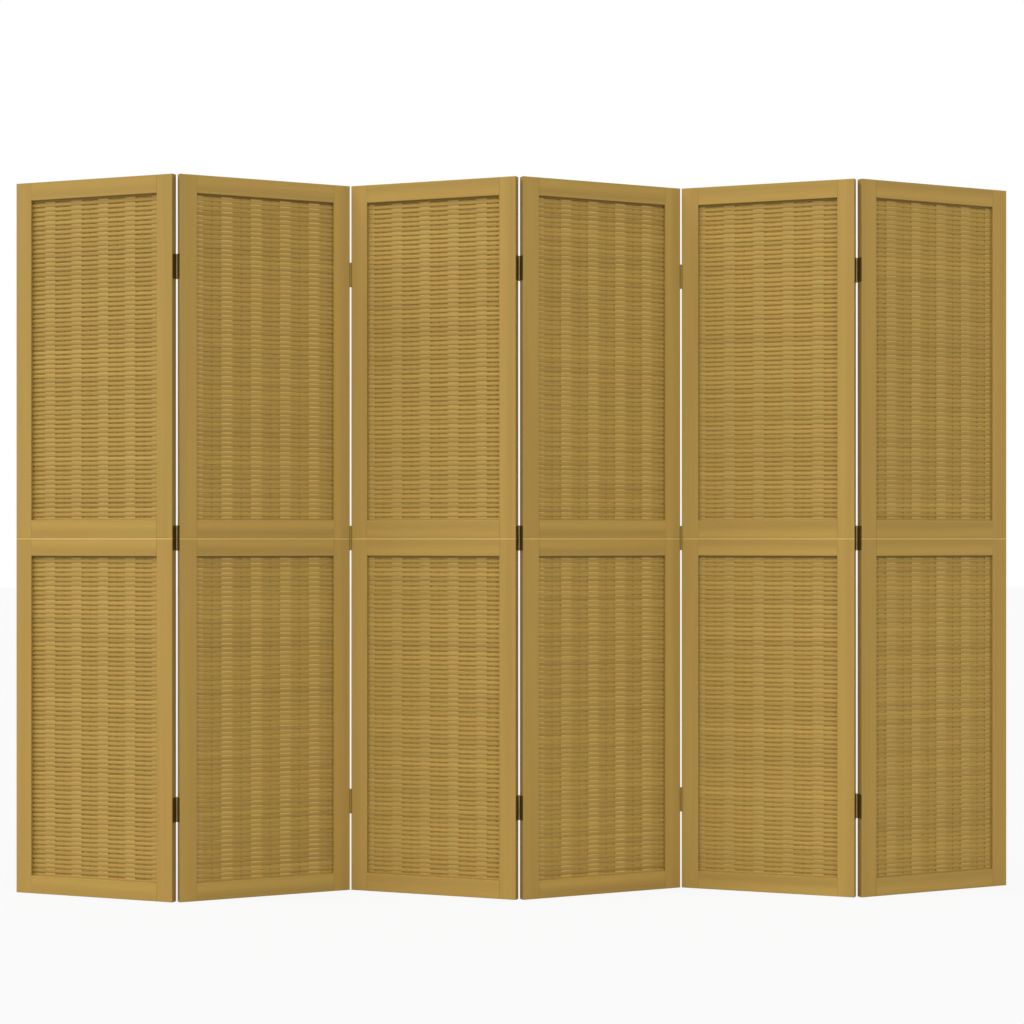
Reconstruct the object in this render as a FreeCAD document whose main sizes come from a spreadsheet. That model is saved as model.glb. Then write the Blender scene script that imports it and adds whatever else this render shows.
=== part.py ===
import FreeCAD, Part
import os
import Sketcher

# Folding privacy screen: panels hinged edge to edge, each made of two framed
# halves, one on top of the other, filled with a mat of wooden strips that lie
# in front of and behind flat slats by turns.
# +Z is up, +X runs along the screen and the front faces -Y. The origin is on
# the floor, in the middle of the screen. Lengths are millimetres.

os.makedirs("parts", exist_ok=True)
doc = FreeCAD.newDocument("folding_screen")

SIZES = [
    # The panel and its frame
    ("panel_width", 398.0),
    ("panel_height", 1600.0),
    ("frame_thickness", 18.0),
    ("stile_width", 39.0),
    ("rail_height", 40.0),
    ("edge_chamfer", 0.8),
    ("opening_arris", 0.6),
    ("groove_depth", 11.0),
    ("tenon_side_clearance", 0.1),
    ("tenon_end_clearance", 0.3),
    ("joining_dowel_diameter", 8.0),
    ("joining_dowel_length", 38.0),
    ("joining_dowel_setback", 1.0),
    ("dowel_hole_clearance", 0.05),
    ("dowel_hole_relief", 1.0),
    # The mat
    ("slat_width", 26.4),
    ("slat_thickness", 2.6),
    ("slat_pitch", 68.2),
    ("slat_side_clearance", 0.4),
    ("rod_diameter", 2.0),
    ("strip_height", 6.4),
    ("strip_thickness", 1.2),
    ("strip_clearance", 0.15),
    ("row_pitch", 5.2),
    ("mat_side_clearance", 0.35),
    ("mat_end_clearance", 2.0),
    # The hinges
    ("knuckle_diameter", 4.4),
    ("pivot_distance", 1.9),
    ("hinge_height", 54.0),
    ("hinge_distance", 202.0),
    ("leaf_thickness", 0.65),
    ("leaf_gap", 0.3),
    ("leaf_setback", 1.5),
    ("knuckle_end_gap", 0.3),
    ("knuckle_side_gap", 0.3),
    ("pin_diameter", 2.0),
    ("pin_clearance", 0.05),
    ("pin_head_diameter", 3.6),
    ("pin_head_height", 0.9),
    ("pin_head_gap", 0.1),
    ("screw_distance", 17.0),
    ("screw_length", 15.0),
    ("screw_diameter", 2.4),
    ("screw_head_diameter", 4.2),
    ("screw_tip_length", 3.0),
    ("screw_recess_length", 2.2),
    ("screw_recess_width", 0.6),
    ("screw_recess_depth", 0.4),
    ("screw_clearance", 0.05),
    # One overrun for every cut that runs out of its piece
    ("cut_overrun", 2.0),
]

PANEL_COUNT = 6
TURNED_PANELS = (1, 6)
HALF_TURN = 180.0
QUARTER_TURN = 90.0
FULL_TURN = 360.0
FOLD_ANGLE = 45.2
KNUCKLE_COUNT = 5

sheet = doc.addObject("Spreadsheet::Sheet", "sizes")
for row, (name, value) in enumerate(SIZES, start=1):
    sheet.set("A%d" % row, name)
    sheet.set("B%d" % row, str(value))
    sheet.setAlias("B%d" % row, name)
doc.recompute()


class Size:
    """A length: its value, and the sheet expression that gives it."""

    def __init__(self, value, text):
        self.value = value
        self.text = text

    def __add__(self, other):
        return Size(self.value + other.value, "(%s + %s)" % (self.text, other.text))

    def __sub__(self, other):
        return Size(self.value - other.value, "(%s - %s)" % (self.text, other.text))

    def __mul__(self, factor):
        return Size(self.value * factor, "(%s * %s)" % (self.text, factor))

    def __truediv__(self, divisor):
        return Size(self.value / divisor, "(%s / %s)" % (self.text, divisor))

    def __neg__(self):
        return Size(-self.value, "(-1 * %s)" % self.text)


def size(name):
    return Size(float(sheet.get(name)), "sizes.%s" % name)


ZERO = Size(0.0, "0")
Y_AXIS = FreeCAD.Vector(0, 1, 0)
X_AXIS = FreeCAD.Vector(1, 0, 0)
Z_AXIS = FreeCAD.Vector(0, 0, 1)

panel_width = size("panel_width")
half_height = size("panel_height") / 2
frame_half = size("frame_thickness") / 2
stile_width = size("stile_width")
rail_height = size("rail_height")
chamfer = size("edge_chamfer")
arris = size("opening_arris")
groove_depth = size("groove_depth")
slat_half = size("slat_thickness") / 2
strip_back = slat_half + size("strip_clearance")
strip_front = strip_back + size("strip_thickness")
groove_half = strip_front + size("mat_side_clearance")
mat_end_depth = groove_depth - size("mat_end_clearance")
overrun = size("cut_overrun")
rail_length = panel_width - stile_width * 2
opening_height = half_height - rail_height * 2

pivot_side = frame_half + size("pivot_distance")
hinge_height = size("hinge_height")
knuckle_radius = size("knuckle_diameter") / 2
pin_radius = size("pin_diameter") / 2
bore_radius = pin_radius + size("pin_clearance")
leaf_thickness = size("leaf_thickness")
gap_half = leaf_thickness + size("leaf_gap") / 2
screw_radius = size("screw_diameter") / 2
screw_head_radius = size("screw_head_diameter") / 2
screw_clearance = size("screw_clearance")
dowel_radius = size("joining_dowel_diameter") / 2
dowel_inset = size("screw_length") + size("joining_dowel_setback") + dowel_radius


def bind(item, **properties):
    """Ties properties of an object to sizes."""
    for key, length in properties.items():
        setattr(item, key, length.value)
        item.setExpression(key, length.text)


def at(x=0.0, y=0.0, z=0.0, axis=Z_AXIS, angle=0.0):
    return FreeCAD.Placement(FreeCAD.Vector(x, y, z), FreeCAD.Rotation(axis, angle))


# Sketches: outlines and circles whose points are tied to sizes

def add_sketch(body, name, plane, height=None):
    sketch = body.newObject("Sketcher::SketchObject", name)
    planes = [part for part in body.Origin.OriginFeatures if part.Role == plane]
    sketch.AttachmentSupport = [(planes[0], "")]
    sketch.MapMode = "FlatFace"
    if height is not None:
        sketch.setExpression("AttachmentOffset.Base.z", height.text)
    return sketch


def tie_point(sketch, geometry, point, x, y):
    """Ties one point of a sketch to two lengths from the sketch's origin."""
    for length, straight, distance in ((x, "Vertical", "DistanceX"), (y, "Horizontal", "DistanceY")):
        if length is ZERO:
            sketch.addConstraint(Sketcher.Constraint(straight, -1, 1, geometry, point))
        else:
            rule = Sketcher.Constraint(distance, -1, 1, geometry, point, length.value)
            index = sketch.addConstraint(rule)
            sketch.setExpression("Constraints[%d]" % index, length.text)


def add_outline(sketch, points):
    """Adds a closed outline of straight lines."""
    first = len(sketch.Geometry)
    corners = [FreeCAD.Vector(x.value, y.value, 0) for x, y in points]
    for start, end in zip(corners, corners[1:] + corners[:1]):
        sketch.addGeometry(Part.LineSegment(start, end), False)
    for step, (x, y) in enumerate(points):
        before = first + (step - 1) % len(points)
        sketch.addConstraint(Sketcher.Constraint("Coincident", before, 2, first + step, 1))
        tie_point(sketch, first + step, 1, x, y)


def add_circle(sketch, x, y, radius):
    centre = FreeCAD.Vector(x.value, y.value, 0)
    index = sketch.addGeometry(Part.Circle(centre, Z_AXIS, radius.value), False)
    tie_point(sketch, index, 3, x, y)
    rule = sketch.addConstraint(Sketcher.Constraint("Radius", index, radius.value))
    sketch.setExpression("Constraints[%d]" % rule, radius.text)


def add_feature(body, kind, sketch, **settings):
    feature = body.newObject("PartDesign::%s" % kind, "%s_%s" % (sketch.Name, kind.lower()))
    feature.Profile = sketch
    for key, value in settings.items():
        if isinstance(value, Size):
            bind(feature, **{key: value})
        else:
            setattr(feature, key, value)
    body.Tip = feature
    return feature


# Stile: a grooved upright of the frame. The outer edge is at x = 0, the
# opening lies towards +X, the free end at z = 0 and the end that meets the
# other half at z = half_height. It is alike at the front and the back, so one
# shape serves all four corners of a panel.

def make_stile(name, hinged):
    body = doc.addObject("PartDesign::Body", name)
    profile = add_sketch(body, name + "_profile", "XY_Plane")
    add_outline(profile, [
        (chamfer, -frame_half),
        (stile_width - arris, -frame_half),
        (stile_width, arris - frame_half),
        (stile_width, -groove_half),
        (stile_width - groove_depth, -groove_half),
        (stile_width - groove_depth, groove_half),
        (stile_width, groove_half),
        (stile_width, frame_half - arris),
        (stile_width - arris, frame_half),
        (chamfer, frame_half),
        (ZERO, frame_half - chamfer),
        (ZERO, chamfer - frame_half),
    ])
    add_feature(body, "Pad", profile, Length=half_height)

    ends = add_sketch(body, name + "_end_chamfers", "YZ_Plane")
    for side in (frame_half, -frame_half):
        inner = side - chamfer if side is frame_half else side + chamfer
        add_outline(ends, [(inner, ZERO), (side, ZERO), (side, chamfer)])
        add_outline(ends, [(inner, half_height), (side, half_height), (side, half_height - chamfer)])
    add_feature(body, "Pocket", ends, Type="ThroughAll", Reversed=True)

    seat = add_sketch(body, name + "_dowel_seat", "XY_Plane", half_height)
    add_circle(seat, dowel_inset, ZERO, dowel_radius + size("dowel_hole_clearance"))
    seat_depth = size("joining_dowel_length") / 2 + size("dowel_hole_relief")
    add_feature(body, "Pocket", seat, Length=seat_depth)

    if hinged:
        pilots = add_sketch(body, name + "_pilot_holes", "YZ_Plane")
        spread = size("screw_distance")
        outer = size("hinge_distance")
        for height in (outer - spread, outer + spread, half_height - spread):
            add_circle(pilots, ZERO, height, screw_radius + screw_clearance)
        add_feature(body, "Pocket", pilots, Length=size("screw_length"), Reversed=True)
    return body


# Rail: a grooved bar between the stiles, with a tongue at each end that fills
# the groove of the stile. It runs along X, centred, with its outer edge at
# z = 0 and the opening above it.

def make_rail(name):
    body = doc.addObject("PartDesign::Body", name)
    profile = add_sketch(body, name + "_profile", "YZ_Plane", -(rail_length / 2))
    add_outline(profile, [
        (chamfer - frame_half, ZERO),
        (frame_half - chamfer, ZERO),
        (frame_half, chamfer),
        (frame_half, rail_height - arris),
        (frame_half - arris, rail_height),
        (groove_half, rail_height),
        (groove_half, rail_height - groove_depth),
        (-groove_half, rail_height - groove_depth),
        (-groove_half, rail_height),
        (arris - frame_half, rail_height),
        (-frame_half, rail_height - arris),
        (-frame_half, chamfer),
    ])
    add_feature(body, "Pad", profile, Length=rail_length)

    tongue_reach = rail_length / 2 + groove_depth - size("tenon_end_clearance")
    tongue = add_sketch(body, name + "_tongues", "YZ_Plane", -tongue_reach)
    tongue_half = groove_half - size("tenon_side_clearance")
    add_outline(tongue, [
        (-tongue_half, ZERO),
        (tongue_half, ZERO),
        (tongue_half, rail_height - groove_depth),
        (-tongue_half, rail_height - groove_depth),
    ])
    add_feature(body, "Pad", tongue, Length=tongue_reach * 2)
    return body


# Mat: flat slats and thin round rods stand in turn, and each strip lies either
# in front of them all or behind them all, row by row. A strip is higher than
# the pitch of the rows, so that nothing shows through between two rows. Places
# along the mat are measured from its middle.

upright_length = opening_height + mat_end_depth * 2
opening_half = rail_length / 2
slat_pitch = size("slat_pitch")
first_slat = size("slat_width") / 2 + size("slat_side_clearance") - groove_depth - opening_half
slat_count = int((opening_half.value - first_slat.value) / slat_pitch.value) + 1
slat_places = [first_slat + slat_pitch * step for step in range(slat_count)]
rod_places = [place + slat_pitch / 2 for place in slat_places]
rod_places = [place for place in rod_places if place.value < opening_half.value]
row_pitch = size("row_pitch")
row_count = int(opening_height.value / row_pitch.value) + 1


def make_slat(name):
    slat = doc.addObject("Part::Box", name)
    bind(slat, Length=size("slat_width"), Width=size("slat_thickness"), Height=upright_length)
    return slat


def make_rod(name):
    rod = doc.addObject("Part::Cylinder", name)
    bind(rod, Radius=size("rod_diameter") / 2, Height=upright_length)
    return rod


def make_strip(name):
    """A straight strip in front of the slats, centred along X and resting on z = 0."""
    strip = doc.addObject("Part::Box", name)
    reach = opening_half + mat_end_depth
    bind(strip, Length=reach * 2, Width=size("strip_thickness"), Height=size("strip_height"))
    strip.setExpression("Placement.Base.x", (-reach).text)
    strip.setExpression("Placement.Base.y", (-strip_front).text)
    return strip


def make_mat(strip):
    """All strips of one panel, both openings: odd rows lie behind the slats."""
    ahead = strip.Shape
    behind = ahead.mirror(FreeCAD.Vector(0, 0, 0), Y_AXIS)
    middle = opening_height / 2 - size("strip_height") / 2
    rows = []
    for floor in (rail_height.value, half_height.value + rail_height.value):
        lowest = floor + middle.value - row_pitch.value * (row_count - 1) / 2
        for row in range(row_count):
            copy = (behind if row % 2 else ahead).copy()
            copy.translate(FreeCAD.Vector(0, 0, lowest + row_pitch.value * row))
            rows.append(copy)
    return Part.makeCompound(rows)


# Hinge: a butt hinge drawn round its pin. The pin stands at the origin, the
# panel edges are at x = -gap_half and x = gap_half, and the panels lie
# towards -Y.

def add_box(name, low, high):
    box = doc.addObject("Part::Box", name)
    spans = [top - bottom for bottom, top in zip(low, high)]
    bind(box, Length=spans[0], Width=spans[1], Height=spans[2])
    for letter, length in zip("xyz", low):
        box.setExpression("Placement.Base.%s" % letter, length.text)
    return box


def add_cylinder(name, radius, bottom, top):
    cylinder = doc.addObject("Part::Cylinder", name)
    bind(cylinder, Radius=radius, Height=top - bottom)
    cylinder.setExpression("Placement.Base.z", bottom.text)
    return cylinder


def add_countersink(name, side, height):
    """The hole of a flat-headed screw through the leaf of one side."""
    cone = doc.addObject("Part::Cone", name)
    bind(cone, Radius1=screw_head_radius + screw_clearance, Radius2=screw_radius + screw_clearance)
    bind(cone, Height=leaf_thickness)
    cone.Placement = at(axis=Y_AXIS, angle=QUARTER_TURN * side)
    cone.setExpression("Placement.Base.x", ((gap_half - leaf_thickness) * side).text)
    cone.setExpression("Placement.Base.y", (-pivot_side).text)
    cone.setExpression("Placement.Base.z", height.text)
    return cone


def knuckle_span(index, gap):
    """The lowest and highest points of one knuckle, narrowed or widened by a gap."""
    pitch = hinge_height / KNUCKLE_COUNT
    bottom = pitch * index - hinge_height / 2
    return bottom + gap, bottom + pitch - gap


def make_leaf(name, side, own):
    """One leaf: side is -1 for the left panel and 1 for the right one, own its knuckles."""
    end_gap = size("knuckle_end_gap") / 2
    reach = pivot_side + frame_half - size("leaf_setback")
    inner = gap_half - leaf_thickness
    edges = (-gap_half, -inner) if side < 0 else (inner, gap_half)
    low = (edges[0], -reach, -(hinge_height / 2))
    high = (edges[1], ZERO, hinge_height / 2)
    solids = [add_box(name + "_plate", low, high)]
    for index in own:
        bottom, top = knuckle_span(index, end_gap)
        solids.append(add_cylinder("%s_knuckle_%d" % (name, index), knuckle_radius, bottom, top))
    blank = doc.addObject("Part::MultiFuse", name + "_blank")
    blank.Shapes = solids

    half = hinge_height / 2
    cuts = [add_cylinder(name + "_bore", bore_radius, -half - overrun, half + overrun)]
    for index in range(KNUCKLE_COUNT):
        if index not in own:
            bottom, top = knuckle_span(index, -end_gap)
            radius = knuckle_radius + size("knuckle_side_gap")
            cuts.append(add_cylinder("%s_clearance_%d" % (name, index), radius, bottom, top))
    for index, height in enumerate((size("screw_distance"), -size("screw_distance"))):
        cuts.append(add_countersink("%s_countersink_%d" % (name, index), side, height))
    tools = doc.addObject("Part::MultiFuse", name + "_tools")
    tools.Shapes = cuts
    leaf = doc.addObject("Part::Cut", name)
    leaf.Base = blank
    leaf.Tool = tools
    return leaf


def make_turned(name, points):
    """A body turned about its long axis: the outline lies in the XZ plane."""
    body = doc.addObject("PartDesign::Body", name)
    profile = add_sketch(body, name + "_profile", "XZ_Plane")
    add_outline(profile, points)
    axis = (profile, ["V_Axis"])
    add_feature(body, "Revolution", profile, ReferenceAxis=axis, Angle=FULL_TURN)
    return body


def make_pin(name):
    shoulder = hinge_height / 2 + size("pin_head_gap")
    top = shoulder + size("pin_head_height")
    head_radius = size("pin_head_diameter") / 2
    return make_turned(name, [
        (ZERO, -top),
        (pin_radius, -top),
        (head_radius, -shoulder - size("pin_head_height") / 2),
        (head_radius, -shoulder),
        (pin_radius, -shoulder),
        (pin_radius, shoulder),
        (head_radius, shoulder),
        (head_radius, shoulder + size("pin_head_height") / 2),
        (pin_radius, top),
        (ZERO, top),
    ])


def make_screw(name):
    """A flat-headed wood screw: the head's face at z = 0 and the tip below it."""
    length = size("screw_length")
    body = make_turned(name, [
        (ZERO, ZERO),
        (screw_head_radius, ZERO),
        (screw_radius, -leaf_thickness),
        (screw_radius, size("screw_tip_length") - length),
        (ZERO, -length),
    ])
    cross = add_sketch(body, name + "_recess", "XY_Plane")
    long_half = size("screw_recess_length") / 2
    wide_half = size("screw_recess_width") / 2
    add_outline(cross, [
        (long_half, -wide_half),
        (long_half, wide_half),
        (wide_half, wide_half),
        (wide_half, long_half),
        (-wide_half, long_half),
        (-wide_half, wide_half),
        (-long_half, wide_half),
        (-long_half, -wide_half),
        (-wide_half, -wide_half),
        (-wide_half, -long_half),
        (wide_half, -long_half),
        (wide_half, -wide_half),
    ])
    add_feature(body, "Pocket", cross, Length=size("screw_recess_depth"))
    return body


def make_joining_dowel(name):
    length = size("joining_dowel_length")
    radius = dowel_radius
    lead = size("dowel_hole_relief")
    return make_turned(name, [
        (ZERO, -(length / 2)),
        (radius - lead, -(length / 2)),
        (radius, lead - length / 2),
        (radius, length / 2 - lead),
        (radius - lead, length / 2),
        (ZERO, length / 2),
    ])


hinged_stile = make_stile("hinged_stile", True)
plain_stile = make_stile("plain_stile", False)
rail = make_rail("rail")
slat = make_slat("slat")
rod = make_rod("rod")
strip = make_strip("strip")
joining_dowel = make_joining_dowel("joining_dowel")
left_leaf = make_leaf("left_leaf", -1, range(0, KNUCKLE_COUNT, 2))
right_leaf = make_leaf("right_leaf", 1, range(1, KNUCKLE_COUNT, 2))
pin = make_pin("pin")
screw = make_screw("screw")
doc.recompute()
mat_shape = make_mat(strip)

# The zigzag: odd panels run towards the front, even ones towards the back, so
# the folds after odd panels stand in front with their pins behind the panels.

half_fold = FOLD_ANGLE / 2


def panel_angle(number):
    return -half_fold if number % 2 else half_fold


def fold_side(number):
    """Where the pins of a fold stand: 1 behind the panels, -1 in front."""
    return 1 if number % 2 else -1


def turned_vector(x, y, angle):
    return FreeCAD.Rotation(Z_AXIS, angle).multVec(FreeCAD.Vector(x, y, 0))


def lay_out():
    """The origin of each panel's left edge and the place of each fold's pins."""
    origins = [FreeCAD.Vector(0, 0, 0)]
    folds = []
    for number in range(1, PANEL_COUNT):
        side = fold_side(number) * pivot_side.value
        reach = turned_vector(panel_width.value + gap_half.value, side, panel_angle(number))
        folds.append(origins[-1] + reach)
        back = turned_vector(-gap_half.value, side, panel_angle(number + 1))
        origins.append(folds[-1] - back)
    centre_x = folds[PANEL_COUNT // 2 - 1].x
    near = origins[0] + turned_vector(panel_width.value - chamfer.value, -frame_half.value, -half_fold)
    far = origins[0] + turned_vector(chamfer.value, frame_half.value, -half_fold)
    shift = FreeCAD.Vector(centre_x, (near.y + far.y) / 2, 0)
    return [point - shift for point in origins], [point - shift for point in folds]


panel_origins, fold_places = lay_out()
nodes = []


def group(name, members, placement):
    """One node: placed copies of the pieces, moved together to their panel."""
    links = []
    for index, (piece, place) in enumerate(members, start=1):
        link = doc.addObject("App::Link", "%s_%d" % (name, index))
        link.LinkedObject = piece
        link.Placement = place
        links.append(link)
    node = doc.addObject("Part::Compound", name)
    node.Label = name
    node.Links = links
    node.Placement = placement
    nodes.append(node)


def both_edges(number):
    """The edges of a panel that carry hinges: -1 left, 1 right."""
    return [edge for edge in (-1, 1) if 1 <= number + (edge - 1) // 2 < PANEL_COUNT]


def make_panel(number):
    origin = panel_origins[number - 1]
    place = FreeCAD.Placement(origin, FreeCAD.Rotation(Z_AXIS, panel_angle(number)))
    prefix = "panel_%d_" % number
    width = panel_width.value
    top = half_height.value * 2
    edges = both_edges(number)

    left = hinged_stile if -1 in edges else plain_stile
    upside_down = FreeCAD.Rotation(X_AXIS, HALF_TURN)
    upper_left = FreeCAD.Placement(FreeCAD.Vector(0, 0, top), upside_down)
    group(prefix + "left_stiles", [(left, at()), (left, upper_left)], place)

    right = hinged_stile if 1 in edges else plain_stile
    upper_right = at(width, 0, top, Y_AXIS, HALF_TURN)
    lower_right = at(width, 0, 0, Z_AXIS, HALF_TURN)
    group(prefix + "right_stiles", [(right, lower_right), (right, upper_right)], place)

    middle = width / 2
    rails = []
    for floor in (0, half_height.value):
        rails.append((rail, at(middle, 0, floor)))
        rails.append((rail, at(middle, 0, floor + half_height.value, X_AXIS, HALF_TURN)))
    group(prefix + "rails", rails, place)

    turn = -1 if number in TURNED_PANELS else 1
    uprights = []
    for floor in (0, half_height.value):
        foot = floor + rail_height.value - mat_end_depth.value
        for spot in slat_places:
            slat_left = middle + turn * spot.value - size("slat_width").value / 2
            uprights.append((slat, at(slat_left, -slat_half.value, foot)))
        for spot in rod_places:
            uprights.append((rod, at(middle + turn * spot.value, 0, foot)))
    group(prefix + "uprights", uprights, place)

    strips = doc.addObject("Part::Feature", prefix + "strips")
    strips.Label = prefix + "strips"
    strips.Shape = mat_shape
    strips.Placement = place.multiply(at(middle, 0, 0))
    nodes.append(strips)

    inset = dowel_inset.value
    dowels = [(joining_dowel, at(x, 0, half_height.value)) for x in (inset, width - inset)]
    group(prefix + "joining_dowels", dowels, place)

    screws = []
    hinge_centres = hinge_heights()
    for edge in edges:
        x = width + leaf_thickness.value if edge > 0 else -leaf_thickness.value
        for centre in hinge_centres:
            for spread in (-size("screw_distance").value, size("screw_distance").value):
                screws.append((screw, at(x, 0, centre + spread, Y_AXIS, QUARTER_TURN * edge)))
    group(prefix + "hinge_screws", screws, place)


def hinge_heights():
    distance = size("hinge_distance").value
    return (distance, half_height.value, half_height.value * 2 - distance)


def make_fold(number):
    prefix = "fold_%d_" % number
    centre = fold_places[number - 1]
    flip = 0.0 if fold_side(number) > 0 else HALF_TURN
    members = (
        ("left_leaves", left_leaf, panel_angle(number)),
        ("right_leaves", right_leaf, panel_angle(number + 1)),
        ("pins", pin, panel_angle(number)),
    )
    for name, piece, angle in members:
        copies = [(piece, at(0, 0, height, X_AXIS, flip)) for height in hinge_heights()]
        group(prefix + name, copies, FreeCAD.Placement(centre, FreeCAD.Rotation(Z_AXIS, angle)))


for panel_number in range(1, PANEL_COUNT + 1):
    make_panel(panel_number)
for fold_number in range(1, PANEL_COUNT):
    make_fold(fold_number)
doc.recompute()

for item in doc.Objects:
    if "Invalid" in item.State or "Error" in item.State:
        raise RuntimeError("%s did not compute: %s" % (item.Name, item.State))
for node in nodes:
    if node.Shape.isNull() or not node.Shape.isValid():
        raise RuntimeError("%s has no valid shape" % node.Label)
    print(node.Label, len(node.Shape.Solids), "solids", round(node.Shape.Volume), "cubic mm")
    node.Shape.exportStep("parts/%s.step" % node.Label)
for fold_number, point in enumerate(fold_places, start=1):
    print("fold", fold_number, "at", round(point.x, 4), round(point.y, 4))
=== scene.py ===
import math
import random

import bpy
from mathutils import Matrix, Vector


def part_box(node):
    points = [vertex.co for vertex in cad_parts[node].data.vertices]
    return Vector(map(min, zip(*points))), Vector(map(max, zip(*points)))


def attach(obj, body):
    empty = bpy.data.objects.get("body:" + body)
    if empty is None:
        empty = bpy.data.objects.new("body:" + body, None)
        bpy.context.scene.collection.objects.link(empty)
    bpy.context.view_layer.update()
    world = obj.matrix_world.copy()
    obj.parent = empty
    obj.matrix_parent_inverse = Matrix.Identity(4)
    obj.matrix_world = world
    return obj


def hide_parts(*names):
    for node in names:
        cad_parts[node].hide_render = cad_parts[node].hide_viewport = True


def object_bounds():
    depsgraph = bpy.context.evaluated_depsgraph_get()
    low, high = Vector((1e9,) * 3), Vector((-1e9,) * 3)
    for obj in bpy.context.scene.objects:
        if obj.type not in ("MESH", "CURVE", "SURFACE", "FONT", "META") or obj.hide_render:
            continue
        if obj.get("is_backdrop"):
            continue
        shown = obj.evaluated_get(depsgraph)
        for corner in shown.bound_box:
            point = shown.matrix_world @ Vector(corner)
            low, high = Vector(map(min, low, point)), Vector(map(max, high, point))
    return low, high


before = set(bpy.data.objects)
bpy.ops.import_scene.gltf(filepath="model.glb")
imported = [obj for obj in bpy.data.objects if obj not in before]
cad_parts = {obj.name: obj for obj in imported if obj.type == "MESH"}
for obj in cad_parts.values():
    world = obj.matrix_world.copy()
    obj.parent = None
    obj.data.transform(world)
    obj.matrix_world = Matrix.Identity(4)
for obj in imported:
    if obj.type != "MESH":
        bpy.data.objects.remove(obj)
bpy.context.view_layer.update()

# The looks of a folding screen: six hinged wooden panels, each with two mats of
# thin strips. Lengths are metres. A panel's own frame has its middle at the
# floor, +X along the panel to the viewer's right and -Y to its front.

MILLIMETRE = 0.001

# The panels and their frames, as in the solids. In the turned panels the mat
# starts on the right.
PANELS = range(1, 7)
TURNED_PANELS = (1, 6)
FOLD_ANGLE = math.radians(45.2)
HALF_HEIGHT = 0.8
RAIL_HEIGHT = 0.04
PANEL_HALF = 0.199
STILE_WIDTH = 0.039
OPENING_HALF = PANEL_HALF - STILE_WIDTH
GROOVE_DEPTH = 0.011

# The mat's slats and rows, where the solids have them
SLAT_WIDTH = 0.0264
SLAT_PITCH = 0.0682
SLAT_CLEARANCE = 0.0004
SLAT_COUNT = 5
FIRST_SLAT = SLAT_CLEARANCE + SLAT_WIDTH / 2 - GROOVE_DEPTH - OPENING_HALF
ROW_COUNT = 139
ROW_PITCH = 0.0052

# The strips. The upper half of their section is given outwards and upwards, as
# shares of half the thickness and half the height.
STRIP_HEIGHT = 0.0069
STRIP_THICKNESS = 0.0012
SECTION = [(1.0, 0.42), (0.88, 0.72), (0.50, 0.92), (-0.10, 1.0), (-0.80, 0.97), (-1.0, 0.84)]
END_IN_GROOVE = 0.009
STRIP_END = OPENING_HALF + END_IN_GROOVE

# How far a strip's middle lies from the mat's, over a slat and halfway to the next
DEPTH_AT_SLAT = 0.00190
DEPTH_AT_ROD = 0.00170

# Where a strip's mesh has a ring besides the middle and the edge of a slat, as
# shares of the slats' pitch from that middle
RING_SHARES = (0.27, 0.34, 0.42, 0.5)

# How uneven the strips are: how much less high one can be and how high its waves
# are, in millimetres, the most it leans, and how fast its waves run for each
# metre and where they start, in radians
HEIGHT_SPREAD_MM = 0.25
WAVE_HEIGHT_MM = 0.09
LEAN = 0.03
WAVE_RATES = (6.0, 30.0)
WAVE_STARTS = (0.0, 6.3)

# Where the photograph was taken from
CAMERA_PLACE = Vector((-0.2209, -4.8042, 0.8))
CAMERA_YAW = math.radians(2.479)
LENS = 75.165
HORIZON_SHIFT = 0.0254

# Light: for each lamp its angle to the left of the camera and above the floor,
# its strength and how wide it looks
SIDE_LAMP = (math.radians(80), math.radians(40), 1.33, math.radians(24))
TOP_LAMP = (math.radians(8), math.radians(52), 1.20, math.radians(90))
SKY_STRENGTH = 0.62
DIRECT_RAYS = ("Is Camera Ray", "Is Glossy Ray", "Is Transmission Ray")
WHITE = (1.0, 1.0, 1.0, 1.0)
FLOOR_COLOUR = (0.50, 0.50, 0.50, 1.0)
FLOOR_WHITENESS = 0.90
FLOOR_REACH = 30.0

# Finishes, as linear colours
FRAME_LIGHT = (0.475, 0.300, 0.065)
FRAME_DARK = (0.400, 0.246, 0.050)
STRIP_LIGHT = (0.470, 0.300, 0.066)
STRIP_DARK = (0.360, 0.216, 0.041)
# The strips' inner faces, painted paler as painted light in the mat's gaps
LIT_INSIDE_LIGHT = (0.800, 0.560, 0.125)
LIT_INSIDE_DARK = (0.640, 0.430, 0.082)
SLAT_LIGHT = (0.600, 0.415, 0.118)
SLAT_DARK = (0.510, 0.340, 0.086)
BARE_WOOD = (0.500, 0.340, 0.170)
BRONZE = (0.195, 0.118, 0.030)
BRONZE_DARK = (0.105, 0.060, 0.008)
# The barrel's own colour ahead of the panels, and a pale painted light for barrels seen behind
# them
BARREL_AHEAD = (0.300, 0.205, 0.045)
PAINTED_LIT_BARREL = (0.640, 0.470, 0.190)

# What a colour is multiplied by
GREENER = (0.980, 1.015, 0.980)
REDDER = (1.020, 0.985, 1.020)
# Unchanged, and a painted highlight for the lower half's top edge at the joint
NO_SEAM_HIGHLIGHT = (1.0, 1.0, 1.0)
SEAM_HIGHLIGHT = (1.40, 1.47, 1.90)
ROD_TONE = 0.80

# Grain: how often the wood's tone changes across, through and along it, for each
# metre, and how much of the stain's depth comes from it
BROAD_BANDS = (30.0, 30.0, 1.1)
RINGS = (210.0, 120.0, 3.0)
FIBRES = (1700.0, 1700.0, 26.0)
HUES = (9.0, 9.0, 4.0)
DOWEL_FIBRES = (1500.0, 1500.0, 60.0)
BAND_CONTRAST = 1.5
RING_CONTRAST = 0.7
FIBRE_CONTRAST = 0.5
STAIN_DEPTH = 0.45
HUE_CONTRAST = 2.4

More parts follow.
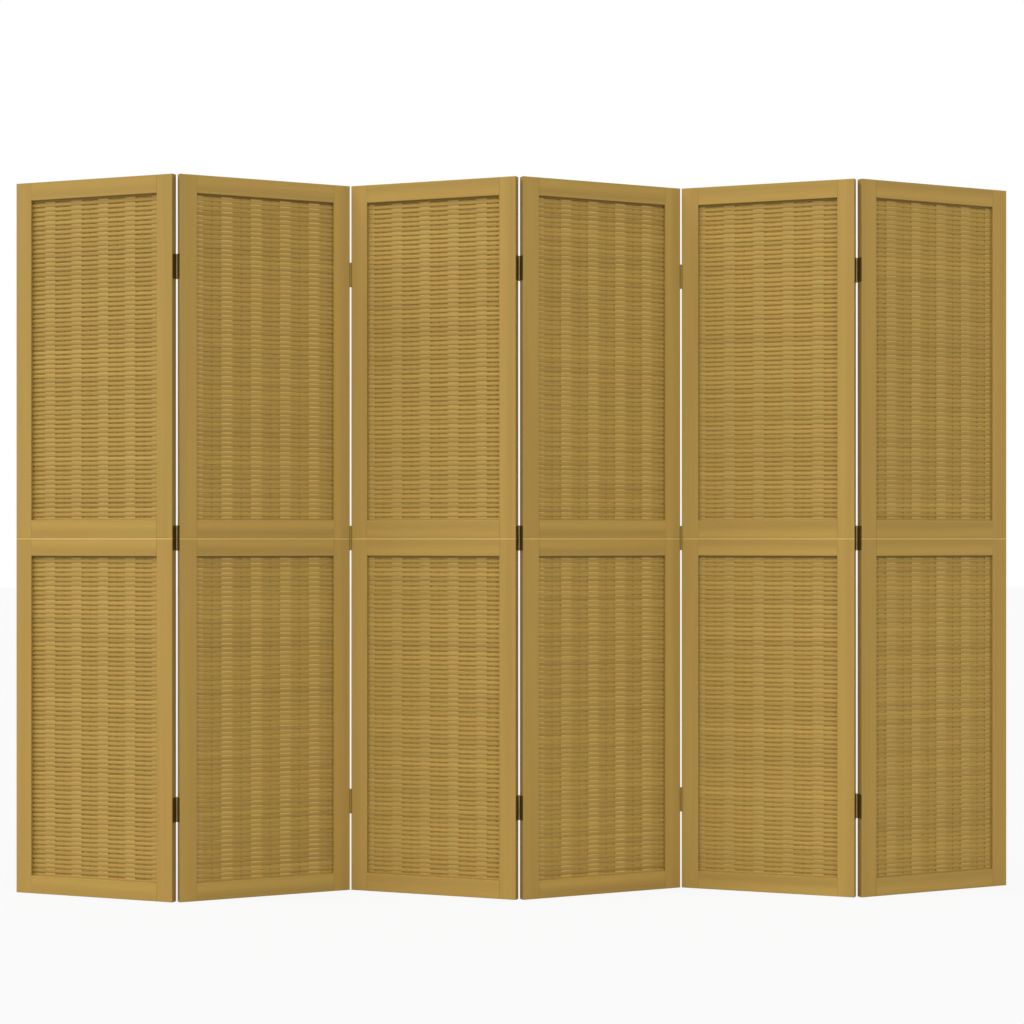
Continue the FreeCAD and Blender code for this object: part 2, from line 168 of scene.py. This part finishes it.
# Seeds, which give each piece a grain of its own
MEMBER_SEEDS = {"left_stile": 0.0, "right_stile": 11.3, "rail": 23.9}
MEMBER_STEP = 3.7
PANEL_STEP = 1.9
SLAT_STEP = 2.3
STRIP_STEP = 40.0

# Wood's gloss, and for each kind its least roughness, what the fibres add to it,
# and the height and the strength of their relief
WOOD_GLOSS = 0.30
FRAME_SURFACE = (0.42, 0.14, 0.12 * MILLIMETRE, 0.5)
SLAT_SURFACE = (0.52, 0.12, 0.1 * MILLIMETRE, 0.4)
STRIP_SURFACE = (0.44, 0.15, 0.08 * MILLIMETRE, 0.5)
BARE_ROUGHNESS = 0.6

# Bronzed brass
BRONZE_GLOSS = 0.25
BRONZE_METALLIC = 0.35
SCREW_ROUGHNESS = 0.36
HINGE_ROUGHNESS = 0.50
WEAR_POLISH = 0.12
CLOUD_SCALE = 240.0
SPECK_SCALE = 2600.0
SPECK_RELIEF = 0.02 * MILLIMETRE
BARREL_RADIUS = 2.25 * MILLIMETRE

# Where frames are darker or lighter: darker on the outermost millimetre at a panel's sides, and a
# painted highlight, standing in for light on the lower half's top edge, from the first to the
# second height below the joint of its halves
SIDE_BAND_WIDTH = 1.0 * MILLIMETRE
SIDE_DARKER = 0.18
SEAM_HIGHLIGHT_FROM = 3.2 * MILLIMETRE
SEAM_HIGHLIGHT_TO = 0.05 * MILLIMETRE

# Soft tone bands: how much darker a member is in its first half and lighter in
# its second, upwards on rails and outwards on right stiles, or below zero the
# other way round
RAIL_BANDS = {1: 0.07, 2: 0.09, 3: -0.07, 4: 0.09, 5: -0.07, 6: -0.08}
STILE_BANDS = {2: -0.06, 3: -0.03, 4: -0.06, 5: -0.03}

# For each panel, painted shade and light: how much darker its strips are painted between the
# slats, or lighter below zero, how much paler their inner faces are painted as light in the mat's
# gaps, and the slats' tone, painted lighter or darker for the light on that panel
MAT_PAINTED_SHADE = {1: -0.02, 2: 0.06, 3: -0.03, 4: 0.06, 5: -0.05, 6: 0.05}
INSIDE_PAINTED_LIGHT = {1: 0.50, 2: 0.96, 3: 0.52, 4: 0.96, 5: 0.56, 6: 0.94}
SLAT_PAINTED_LIGHT = {1: 0.92, 2: 1.08, 3: 0.88, 4: 1.06, 5: 0.88, 6: 0.98}

# Distances from a rod's middle, as shares of the slats' pitch: an upright nearer
# than the first is a rod, the strips' shade there ends at the second, and the
# band between two slats ends at the third, over the width of the fourth
ROD_REACH = 0.1
ROD_SHADE_REACH = 0.05
BAND_REACH = 0.33
BAND_SOFTNESS = 0.05

# How much darker strips are over a rod and on the row under a rail, how far that
# row reaches, and the strips' own tones
ROD_SHADE = 0.04
SHADED_HEIGHT = 5.5 * MILLIMETRE
SHADED_ROW = 0.39
STRIP_DARKEST = 0.94
STRIP_TONE_SPREAD = 0.12

# Sockets of the Mix node for colours
MIX_FACTOR = 0
MIX_FIRST = 6
MIX_SECOND = 7
MIX_RESULT = 2


class Value:
    """A socket's output. Arithmetic on it adds Math nodes."""

    def __init__(self, nodes, socket):
        self.nodes = nodes
        self.socket = socket

    def math(self, operation, first, *others):
        sockets = dict(enumerate((first, *others)))
        return self.nodes.add("ShaderNodeMath", {"operation": operation}, sockets)

    def __add__(self, other):
        return self.math("ADD", self, other)

    def __radd__(self, other):
        return self.math("ADD", other, self)

    def __sub__(self, other):
        return self.math("SUBTRACT", self, other)

    def __rsub__(self, other):
        return self.math("SUBTRACT", other, self)

    def __mul__(self, other):
        return self.math("MULTIPLY", self, other)

    def __rmul__(self, other):
        return self.math("MULTIPLY", other, self)

    def __truediv__(self, other):
        return self.math("DIVIDE", self, other)

    def above(self, edge):
        return self.math("GREATER_THAN", self, edge)

    def floor(self):
        return self.math("FLOOR", self)

    def fraction(self):
        return self.math("FRACT", self)

    def size(self):
        """The value without its sign."""
        return self.math("ABSOLUTE", self)

    def wave(self):
        return self.math("SINE", self)

    def power(self, exponent):
        return self.math("POWER", self, exponent)

    def held(self):
        """The value kept between 0 and 1."""
        return self.nodes.add("ShaderNodeClamp", {}, {"Value": self})


class Nodes:
    """The nodes of a material or of the world."""

    def __init__(self, owner):
        owner.use_nodes = True
        self.tree = owner.node_tree
        self.tree.nodes.clear()

    def add(self, kind, settings=None, sockets=None, output=0):
        """Adds a node, sets it, fills or links its sockets, and returns one of its outputs."""
        node = self.tree.nodes.new(kind)
        for name, setting in (settings or {}).items():
            setattr(node, name, setting)
        for name, content in (sockets or {}).items():
            if isinstance(content, Value):
                self.tree.links.new(content.socket, node.inputs[name])
            else:
                node.inputs[name].default_value = content
        return Value(self, node.outputs[output]) if node.outputs else None

    def split(self, vector):
        """The three parts of a vector."""
        first = self.add("ShaderNodeSeparateXYZ", {}, {"Vector": vector})
        return [Value(self, socket) for socket in first.socket.node.outputs]

    def join(self, x, y, z):
        return self.add("ShaderNodeCombineXYZ", {}, {"X": x, "Y": y, "Z": z})

    def noise(self, vector, scale, detail=2.0, distortion=0.0):
        sockets = {"Vector": vector, "Scale": scale, "Detail": detail, "Distortion": distortion}
        return self.add("ShaderNodeTexNoise", {}, sockets)

    def mix(self, first, second, factor):
        """A colour between two colours."""
        ends = {MIX_FIRST: as_colour(first), MIX_SECOND: as_colour(second)}
        sockets = {MIX_FACTOR: factor, **ends}
        return self.add("ShaderNodeMix", {"data_type": "RGBA"}, sockets, MIX_RESULT)

    def scale(self, colour, factor):
        """A colour made lighter or darker."""
        sockets = {0: colour, "Scale": factor}
        return self.add("ShaderNodeVectorMath", {"operation": "SCALE"}, sockets)

    def multiply(self, first, second):
        """A colour seen through another."""
        sockets = {0: first, 1: second}
        return self.add("ShaderNodeVectorMath", {"operation": "MULTIPLY"}, sockets)

    def bump(self, height, distance, strength):
        sockets = {"Height": height, "Distance": distance, "Strength": strength}
        return self.add("ShaderNodeBump", {}, sockets)

    def finish(self, **sockets):
        """The surface, whose sockets are named with underscores for spaces."""
        named = {name.replace("_", " "): content for name, content in sockets.items()}
        surface = self.add("ShaderNodeBsdfPrincipled", {}, named)
        self.add("ShaderNodeOutputMaterial", {}, {"Surface": surface})


def as_colour(colour):
    return colour if isinstance(colour, Value) else (*colour, 1.0)


def new_material(name):
    material = bpy.data.materials.new(name)
    return material, Nodes(material)


# Panels

def panel_angle(number):
    return -FOLD_ANGLE / 2 if number % 2 else FOLD_ANGLE / 2


def panel_frame(number):
    """The panel's own frame, with its middle taken from its rails."""
    low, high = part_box("panel_%d_rails" % number)
    middle = (low + high) / 2
    turn = Matrix.Rotation(panel_angle(number), 4, "Z")
    return Matrix.Translation((middle.x, middle.y, 0)) @ turn


def panel_place(nodes, number):
    """Coordinates in the panel's own frame, for a CAD node that lies in the row frame."""
    place = nodes.add("ShaderNodeTexCoord", {}, {}, "Object")
    inverse = panel_frame(number).inverted()
    location, rotation = inverse.to_translation(), inverse.to_euler()
    sockets = {"Vector": place, "Location": location, "Rotation": rotation}
    return nodes.add("ShaderNodeMapping", {"vector_type": "POINT"}, sockets)


# Wood

def stained_wood(nodes, along, across, depth, seed, light, dark):
    """Straight-grained wood under a thin stain: its colour and the height of its fibres."""

    def layer(rates, detail, distortion=0.0):
        place = nodes.join(across * rates[0], depth * rates[1], along * rates[2] + seed)
        return nodes.noise(place, 1.0, detail, distortion)

    bands = layer(BROAD_BANDS, 2.0, 0.3) - 0.5
    rings = layer(RINGS, 3.0, 0.6) - 0.5
    fibres = layer(FIBRES, 3.0)
    hues = layer(HUES, 2.0) - 0.5
    tone = bands * BAND_CONTRAST + rings * RING_CONTRAST + (fibres - 0.5) * FIBRE_CONTRAST
    stain = nodes.mix(light, dark, (tone + STAIN_DEPTH).held())
    hue = nodes.mix(GREENER, REDDER, (hues * HUE_CONTRAST + 0.5).held())
    return nodes.multiply(stain, hue), fibres


def finish_wood(nodes, colour, fibres, surface):
    """A wooden surface, rougher and higher where its fibres stand."""
    roughness, spread, height, strength = surface
    nodes.finish(
        Base_Color=colour,
        Roughness=fibres * spread + roughness,
        Specular_IOR_Level=WOOD_GLOSS,
        Normal=nodes.bump(fibres, height, strength),
    )


def frame_wood(number, name, band):
    """The wood of a panel's rails or of the stiles on one side."""
    material, nodes = new_material("%s_wood_%d" % (name, number))
    x, y, z = nodes.split(panel_place(nodes, number))
    if name == "rail":
        along, across, member_height = x, z, HALF_HEIGHT / 2
        share = z / RAIL_HEIGHT
    else:
        along, across, member_height = z, x, HALF_HEIGHT
        share = (x - OPENING_HALF) / STILE_WIDTH
    seed = (z / member_height).floor() * MEMBER_STEP + (MEMBER_SEEDS[name] + number * PANEL_STEP)
    colour, fibres = stained_wood(nodes, along, across, y, seed, FRAME_LIGHT, FRAME_DARK)
    tone = 1.0 - (share * math.tau).wave() * band
    # Darker on the outermost millimetre at the panel's sides
    at_side = x.size().above(PANEL_HALF - SIDE_BAND_WIDTH)
    # A painted highlight on the lower half's top edge, just below the joint
    seam_highlight = z.above(HALF_HEIGHT - SEAM_HIGHLIGHT_FROM) * (1.0 - z.above(HALF_HEIGHT - SEAM_HIGHLIGHT_TO))
    highlighted_colour = nodes.multiply(colour, nodes.mix(NO_SEAM_HIGHLIGHT, SEAM_HIGHLIGHT, seam_highlight))
    toned = nodes.scale(highlighted_colour, tone * (1.0 - at_side * SIDE_DARKER))
    finish_wood(nodes, toned, fibres, FRAME_SURFACE)
    return material


def from_rods(number, x):
    """How far a place is from the nearest rod's middle, as a share of the slats' pitch."""
    side = -1 if number in TURNED_PANELS else 1
    return (((x * side - FIRST_SLAT) / SLAT_PITCH + 1.0).fraction() - 0.5).size()


def upright_wood(number):
    """Pale slats, which the stain hardly reached, painted lighter or darker per panel for the
    light on it, and darker rods.
    """
    material, nodes = new_material("upright_wood_%d" % number)
    x, y, z = nodes.split(panel_place(nodes, number))
    colour, fibres = stained_wood(nodes, z, x, y, number * SLAT_STEP, SLAT_LIGHT, SLAT_DARK)
    slat = from_rods(number, x).above(ROD_REACH)
    # Each panel's slats painted lighter or darker for how the light falls on that panel
    toned = nodes.scale(colour, slat * (SLAT_PAINTED_LIGHT[number] - ROD_TONE) + ROD_TONE)
    finish_wood(nodes, toned, fibres, SLAT_SURFACE)
    return material


def dowel_wood():
    material, nodes = new_material("dowel_wood")
    x, y, z = nodes.split(nodes.add("ShaderNodeTexCoord", {}, {}, "Object"))
    across, through, along = DOWEL_FIBRES
    fibres = nodes.noise(nodes.join(x * across, y * through, z * along), 1.0, 3.0)
    nodes.finish(Base_Color=nodes.mix(BARE_WOOD, STRIP_LIGHT, fibres), Roughness=BARE_ROUGHNESS)
    return material


def strip_wood(number):
    """Thin split wood, with each strip's own tone.

    Its faces inside the mat are painted paler, as painted light in the mat's gaps. It is painted
    darker as shade where a strip passes a rod, on the row under a rail, and between the slats by a
    per-panel amount, which below zero paints light instead."""
    material, nodes = new_material("strip_wood_%d" % number)
    x, y, z = nodes.split(nodes.add("ShaderNodeTexCoord", {}, {}, "Object"))
    tone = nodes.add("ShaderNodeAttribute", {"attribute_name": "tone"}, {}, "Fac")
    # Inner faces painted paler, by a share set per panel, as painted light in the mat's gaps
    inside = (1.0 - y.size().above(DEPTH_AT_ROD)) * INSIDE_PAINTED_LIGHT[number]
    light = nodes.mix(STRIP_LIGHT, LIT_INSIDE_LIGHT, inside)
    dark = nodes.mix(STRIP_DARK, LIT_INSIDE_DARK, inside)
    colour, fibres = stained_wood(nodes, x, z, y, tone * STRIP_STEP, light, dark)
    away = from_rods(number, x)
    over_rod = 1.0 - (away / ROD_SHADE_REACH).held()
    between = ((BAND_REACH - away) / BAND_SOFTNESS).held()
    # Painted shade over a rod and, per panel, between the slats; below zero the latter is painted
    # light
    band = 1.0 - over_rod * ROD_SHADE - between * MAT_PAINTED_SHADE[number]
    under_rail = 1.0 - (RAIL_HEIGHT + SHADED_HEIGHT) / HALF_HEIGHT
    shaded = (z / HALF_HEIGHT).fraction().above(under_rail)
    own_tone = tone * STRIP_TONE_SPREAD + STRIP_DARKEST
    toned = nodes.scale(colour, own_tone * band * (1.0 - shaded * SHADED_ROW))
    finish_wood(nodes, toned, fibres, STRIP_SURFACE)
    return material


# Metal

def bronzed_brass(name, roughness, axis=None, barrel=None):
    """Dark bronzed brass, with another colour on the barrel round an upright axis, which behind
    the panels is a pale painted light.
    """
    material, nodes = new_material(name)
    place = nodes.add("ShaderNodeTexCoord", {}, {}, "Object")
    clouds = nodes.noise(place, CLOUD_SCALE, 4.0)
    specks = nodes.noise(place, SPECK_SCALE, 2.0)
    wear = ((clouds - 0.45) * 2.0 + (specks - 0.5) * 0.8).held()
    colour = nodes.mix(BRONZE_DARK, BRONZE, wear)
    if axis:
        x, y = nodes.split(place)[:2]
        from_axis = ((x - axis.x) * (x - axis.x) + (y - axis.y) * (y - axis.y)).power(0.5)
        colour = nodes.mix(barrel, colour, from_axis.above(BARREL_RADIUS))
    nodes.finish(
        Base_Color=colour,
        Metallic=BRONZE_METALLIC,
        Roughness=roughness - wear * WEAR_POLISH,
        Specular_IOR_Level=BRONZE_GLOSS,
        Normal=nodes.bump(specks, SPECK_RELIEF, 0.4),
    )
    return material


def assign(node, material):
    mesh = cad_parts[node].data
    mesh.materials.clear()
    mesh.materials.append(material)


# The mat's strips

def add_object(name, mesh, number, material):
    """A piece of one panel, its mesh drawn in the panel's own frame."""
    mesh.materials.append(material)
    piece = bpy.data.objects.new(name, mesh)
    bpy.context.scene.collection.objects.link(piece)
    piece.matrix_world = panel_frame(number)
    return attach(piece, "panel_%d" % number)


def strip_section(height):
    """Points (outward, height) round a strip, anticlockwise: flat inside and domed outside."""
    half = height / 2
    thick = STRIP_THICKNESS / 2
    upper = [(out * thick, up * half) for out, up in SECTION]
    return upper + [(out, -z) for out, z in reversed(upper)]


def strip_places():
    """Places along a strip where its mesh has a ring, and how far each is from the slats.

    The distance is 0 over a slat and 1 halfway between two slats."""
    flat = SLAT_WIDTH / SLAT_PITCH / 2
    places = {}
    for slat in range(SLAT_COUNT + 1):
        middle = FIRST_SLAT + SLAT_PITCH * slat
        for share in (0.0, flat, *RING_SHARES):
            distance = max(0.0, (share - flat) / (0.5 - flat))
            for side in (-1, 1):
                places[round(middle + side * share * SLAT_PITCH, 7)] = distance
    inside = {place: away for place, away in places.items() if abs(place) < STRIP_END - MILLIMETRE}
    inside[-STRIP_END] = inside[min(inside)]
    inside[STRIP_END] = inside[max(inside)]
    return sorted(inside.items())


def strip_points(row, middle, places, chance):
    """One strip's rings of points, uneven by chance. Even rows lie in front of the slats."""
    ahead = -1 if row % 2 == 0 else 1
    height = STRIP_HEIGHT - chance.uniform(0.0, HEIGHT_SPREAD_MM) * MILLIMETRE
    section = strip_section(height)[::ahead]
    lean = chance.uniform(-LEAN, LEAN)
    waves = [(chance.uniform(*WAVE_RATES), chance.uniform(*WAVE_STARTS)) for _ in range(2)]
    points = []
    for place, away in places:
        depth = DEPTH_AT_SLAT + (DEPTH_AT_ROD - DEPTH_AT_SLAT) * away * away * (3 - 2 * away)
        wave = sum(math.sin(place * rate + start) for rate, start in waves)
        rise = wave * WAVE_HEIGHT_MM * MILLIMETRE
        for out, z in section:
            points.append((place, ahead * (depth + out) - z * lean, middle + rise + z))
    return points


def strip_faces(row, first, places):
    """One strip's faces, round it and at its ends, and where their corners lie in the bake.

    The strips of an opening lie there one above another, and first is the number
    of this one's first point."""
    count = len(SECTION) * 2
    levels = [(row + corner / count) / ROW_COUNT for corner in range(count + 1)]
    faces, shares = [], []
    for ring in range(len(places) - 1):
        start = first + ring * count
        ends = [(place + STRIP_END) / (STRIP_END * 2) for place, _ in places[ring:ring + 2]]
        for corner in range(count):
            near = start + corner
            follow = start + (corner + 1) % count
            faces.append((near, follow, follow + count, near + count))
            low, high = levels[corner:corner + 2]
            shares += [(ends[0], low), (ends[0], high), (ends[1], high), (ends[1], low)]
    last = first + (len(places) - 1) * count
    faces.append(tuple(range(first + count - 1, first - 1, -1)))
    faces.append(tuple(range(last, last + count)))
    shares += [(0.0, level) for level in reversed(levels[:count])]
    shares += [(1.0, level) for level in levels[:count]]
    return faces, shares


def add_strips(number, floor, level, chance, material):
    """The strips of one opening, which stands on the given height."""
    side = -1 if number in TURNED_PANELS else 1
    places = sorted((side * place, away) for place, away in strip_places())
    opening = HALF_HEIGHT - RAIL_HEIGHT * 2
    lowest = floor + RAIL_HEIGHT + (opening - ROW_PITCH * (ROW_COUNT - 1)) / 2
    vertices, faces, tones, shares = [], [], [], []
    for row in range(ROW_COUNT):
        points = strip_points(row, lowest + ROW_PITCH * row, places, chance)
        row_faces, row_shares = strip_faces(row, len(vertices), places)
        vertices += points
        faces += row_faces
        shares += row_shares
        tones += [chance.random()] * len(points)
    mesh = bpy.data.meshes.new("strips")
    mesh.from_pydata(vertices, [], faces)
    mesh.attributes.new("tone", "FLOAT", "POINT").data.foreach_set("value", tones)
    layer = mesh.uv_layers.new(name="OFBake")
    layer.data.foreach_set("uv", [part for share in shares for part in share])
    mesh.shade_smooth()
    piece = add_object("panel_%d_%s_strips" % (number, level), mesh, number, material)
    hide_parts("panel_%d_strips" % number)


# Camera, light and surroundings

def add_camera():
    camera = bpy.data.objects.new("camera", bpy.data.cameras.new("camera"))
    bpy.context.scene.collection.objects.link(camera)
    camera.location = CAMERA_PLACE
    camera.rotation_euler = (math.pi / 2, 0, -CAMERA_YAW)
    camera.data.lens = LENS
    camera.data.shift_y = HORIZON_SHIFT
    bpy.context.scene.camera = camera


def add_lamp(name, from_left, elevation, strength, width):
    """A wide, distant lamp, turned to the left of the camera's side and raised above the floor."""
    lamp = bpy.data.lights.new(name, "SUN")
    lamp.energy = strength
    lamp.angle = width
    holder = bpy.data.objects.new(name, lamp)
    bpy.context.scene.collection.objects.link(holder)
    holder.rotation_euler = (math.pi / 2 - elevation, 0, -from_left)


def seen_directly(nodes):
    """1 for rays that show the surroundings themselves, 0 for those that only light things."""
    path = nodes.add("ShaderNodeLightPath")
    outputs = path.socket.node.outputs
    camera, glossy, transmission = [Value(nodes, outputs[name]) for name in DIRECT_RAYS]
    return (camera + glossy + transmission).held()


def light_world():
    world = bpy.data.worlds.new("world")
    bpy.context.scene.world = world
    nodes = Nodes(world)
    strength = seen_directly(nodes) * (1 - SKY_STRENGTH) + SKY_STRENGTH
    sky = nodes.add("ShaderNodeBackground", {}, {"Color": WHITE, "Strength": strength})
    nodes.add("ShaderNodeOutputWorld", {}, {"Surface": sky})


def add_floor():
    mesh = bpy.data.meshes.new("floor")
    signs = [(-1, -1), (1, -1), (1, 1), (-1, 1)]
    corners = [(x * FLOOR_REACH, y * FLOOR_REACH, 0) for x, y in signs]
    mesh.from_pydata(corners, [], [(0, 1, 2, 3)])
    floor = bpy.data.objects.new("floor", mesh)
    bpy.context.scene.collection.objects.link(floor)
    material, nodes = new_material("pale_floor")
    matt = nodes.add("ShaderNodeBsdfDiffuse", {}, {"Color": FLOOR_COLOUR})
    white = nodes.add("ShaderNodeEmission", {}, {"Color": WHITE, "Strength": 1.0})
    sockets = {0: seen_directly(nodes) * FLOOR_WHITENESS, 1: matt, 2: white}
    surface = nodes.add("ShaderNodeMixShader", {}, sockets)
    nodes.add("ShaderNodeOutputMaterial", {}, {"Surface": surface})
    mesh.materials.append(material)
    floor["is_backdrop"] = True


# The screen

def finish_panel(number):
    """Dresses a panel and lays its strips, whose chances run on from the lower opening."""
    name = "panel_%d_" % number
    assign(name + "left_stiles", frame_wood(number, "left_stile", 0.0))
    assign(name + "right_stiles", frame_wood(number, "right_stile", STILE_BANDS.get(number, 0.0)))
    assign(name + "rails", frame_wood(number, "rail", RAIL_BANDS[number]))
    assign(name + "uprights", upright_wood(number))
    chance = random.Random(number)
    strips = strip_wood(number)
    add_strips(number, 0.0, "lower", chance, strips)
    add_strips(number, HALF_HEIGHT, "upper", chance, strips)


dowels = dowel_wood()
screws = bronzed_brass("screw_bronze", SCREW_ROUGHNESS)
for number in PANELS:
    finish_panel(number)
    assign("panel_%d_joining_dowels" % number, dowels)
    assign("panel_%d_hinge_screws" % number, screws)
for number in PANELS[:-1]:
    low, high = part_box("fold_%d_pins" % number)
    # Barrels behind the panels get a pale painted light, those ahead the barrel's own colour
    barrel = PAINTED_LIT_BARREL if number % 2 else BARREL_AHEAD
    axis = (low + high) / 2
    hinges = bronzed_brass("hinge_bronze_%d" % number, HINGE_ROUGHNESS, axis, barrel)
    for part in ("left_leaves", "right_leaves", "pins"):
        assign("fold_%d_%s" % (number, part), hinges)

add_camera()
add_lamp("side_lamp", *SIDE_LAMP)
add_lamp("top_lamp", *TOP_LAMP)
light_world()
add_floor()
bpy.context.scene.view_settings.view_transform = "Standard"

low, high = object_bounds()
